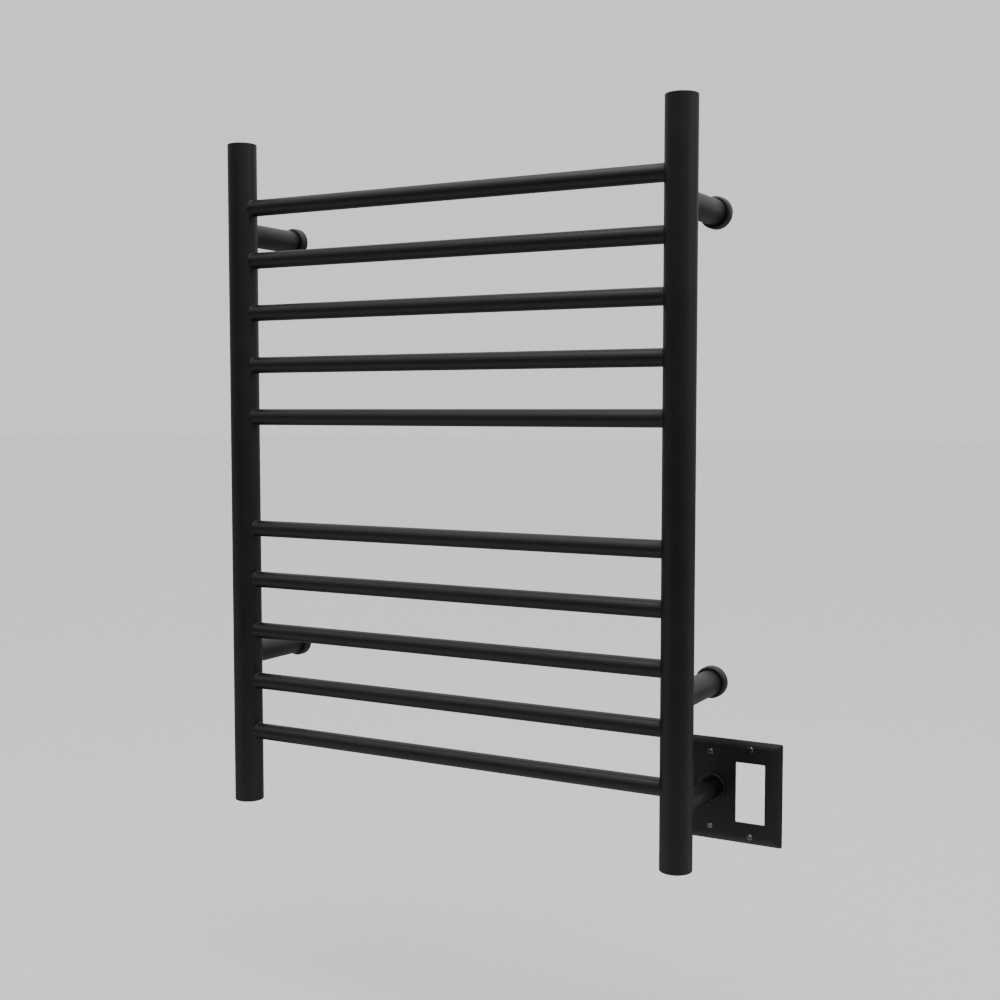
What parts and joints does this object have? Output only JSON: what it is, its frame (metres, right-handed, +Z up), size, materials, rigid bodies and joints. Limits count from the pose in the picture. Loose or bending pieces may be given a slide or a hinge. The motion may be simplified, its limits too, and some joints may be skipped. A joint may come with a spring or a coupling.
{
  "type": "towel warmer rack",
  "caption": "Wall-mounted heated towel rack: round horizontal bars between two posts on standoffs, wired through a conduit and a double-gang wall plate.",
  "frame": {"origin": "centre of the rectangle of the four wall fixings, on the wall face", "axes": "+Z up along the posts, +Y into the wall, +X to the right as seen from the room, towards the conduit and wall plate"},
  "size_m": [0.6636, 0.1325, 0.8001],
  "materials": {
    "black_powder_coat": "fine satin black powder coat on steel tube",
    "bracket_coat": "fine satin black powder coat on turned steel",
    "plate_coat": "smooth matt black powder coat",
    "bush_nylon": "matt black glass-filled nylon",
    "black_nickel": "black nickel plate on steel, polished",
    "black_oxide_steel": "black oxide",
    "zinc_plated_steel": "bright zinc plate",
    "grommet_rubber": "matt black rubber",
    "silicone_cable": "smooth red silicone jacket",
    "sleeve_nylon": "yellow nylon crimp sleeve"
  },
  "bodies": {
    "wall_brackets": {"upper_left_wall_bracket": "bracket_coat", "upper_right_wall_bracket": "bracket_coat", "lower_left_wall_bracket": "bracket_coat", "lower_right_wall_bracket": "bracket_coat"},
    "rack": {"left_post": "black_powder_coat", "right_post": "black_powder_coat", "left_top_cap": "black_powder_coat", "left_bottom_cap": "black_powder_coat", "right_top_cap": "black_powder_coat", "right_bottom_cap": "black_powder_coat", "crossbar_1": "black_powder_coat", "crossbar_2": "black_powder_coat", "crossbar_3": "black_powder_coat", "crossbar_4": "black_powder_coat", "crossbar_5": "black_powder_coat", "crossbar_6": "black_powder_coat", "crossbar_7": "black_powder_coat", "crossbar_8": "black_powder_coat", "crossbar_9": "black_powder_coat", "crossbar_10": "black_powder_coat", "upper_left_standoff": "black_powder_coat", "upper_right_standoff": "black_powder_coat", "lower_left_standoff": "black_powder_coat", "lower_right_standoff": "black_powder_coat", "conduit": "black_powder_coat", "grub_screws": "black_oxide_steel", "conduit_grommet": "grommet_rubber", "heating_cable": "silicone_cable", "crimp_sleeves": "sleeve_nylon"},
    "cover": {"wall_plate": "plate_coat", "conduit_bush": "bush_nylon", "bush_lock_nut": "zinc_plated_steel", "plate_screws": "black_nickel"}
  },
  "joints": [
    {"name": "rack_lift_off", "type": "slide", "parent": "wall_brackets", "child": "rack", "axis": [0, -1, 0], "range_m": [0, 0.04]},
    {"name": "cover_slide", "type": "slide", "parent": "rack", "child": "cover", "axis": [0, -1, 0], "range_m": [0, 0.06]}
  ]
}
